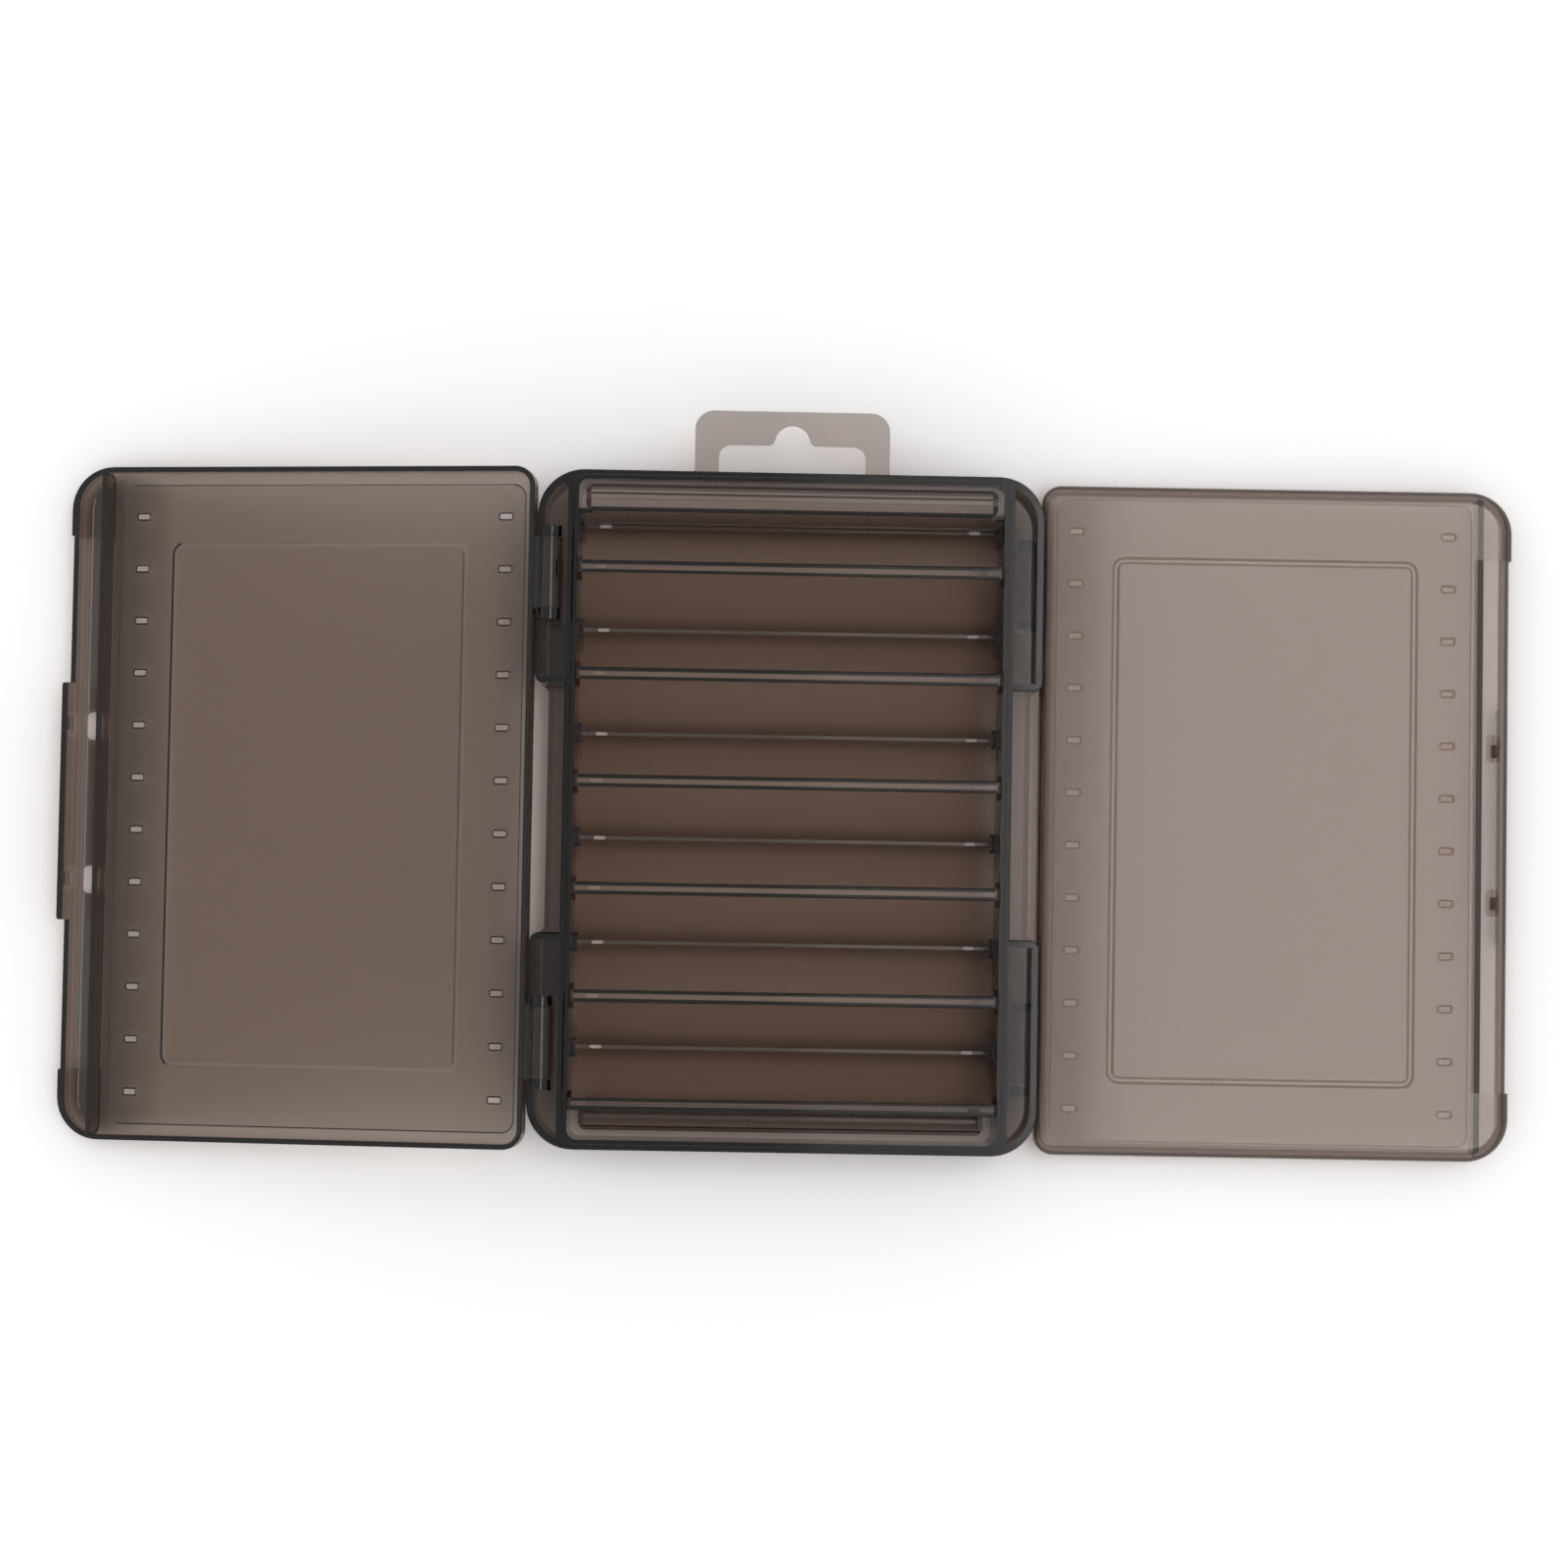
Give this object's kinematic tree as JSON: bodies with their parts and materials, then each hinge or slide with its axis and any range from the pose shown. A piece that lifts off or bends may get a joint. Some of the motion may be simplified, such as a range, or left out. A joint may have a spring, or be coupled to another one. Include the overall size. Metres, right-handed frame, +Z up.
{
  "type": "lure box",
  "caption": "Double-sided fishing lure box lying open, with a zigzag divider, a lid hinged on each side, snap latch flaps and a folding hang tab.",
  "frame": {"origin": "middle of the back crest nearest the box's middle, on the plane the box lies on", "axes": "+X across the box towards the open back lid, +Y towards the hang tab, +Z up out of the front side"},
  "size_m": [0.4415, 0.2243, 0.036],
  "materials": {
    "smoke_frame": "gloss, smoke tinted clear",
    "smoke_divider": "gloss, smoke tinted clear",
    "smoke_lid": "gloss, smoke tinted clear",
    "smoke_tab": "gloss, smoke tinted clear",
    "pin": "dark, semi gloss"
  },
  "bodies": {
    "base": {"base_frame": "smoke_frame", "tray_divider": "smoke_divider", "front_pin_upper": "pin", "front_pin_lower": "pin", "back_pin_upper": "pin", "back_pin_lower": "pin", "tab_film_left": "smoke_tab", "tab_film_right": "smoke_tab"},
    "front_lid_body": {"front_lid": "smoke_lid"},
    "back_lid_body": {"back_lid": "smoke_lid"},
    "hang_tab_body": {"hang_tab": "smoke_tab"}
  },
  "joints": [
    {"name": "front_lid_hinge", "type": "hinge", "parent": "base", "child": "front_lid_body", "pos_m": [-0.0722, 0.008, 0.03065], "axis": [0, 1, 0], "range_deg": [0, 189.42]},
    {"name": "back_lid_hinge", "type": "hinge", "parent": "base", "child": "back_lid_body", "pos_m": [0.0722, 0.008, 0.00535], "axis": [0, 1, 0], "range_deg": [0, 180.95]},
    {"name": "hang_tab_hinge", "type": "hinge", "parent": "base", "child": "hang_tab_body", "pos_m": [0, 0.1114, 0.018], "axis": [1, 0, 0], "range_deg": [-90, 90], "deforming": ["tab_film_left", "tab_film_right"]}
  ]
}
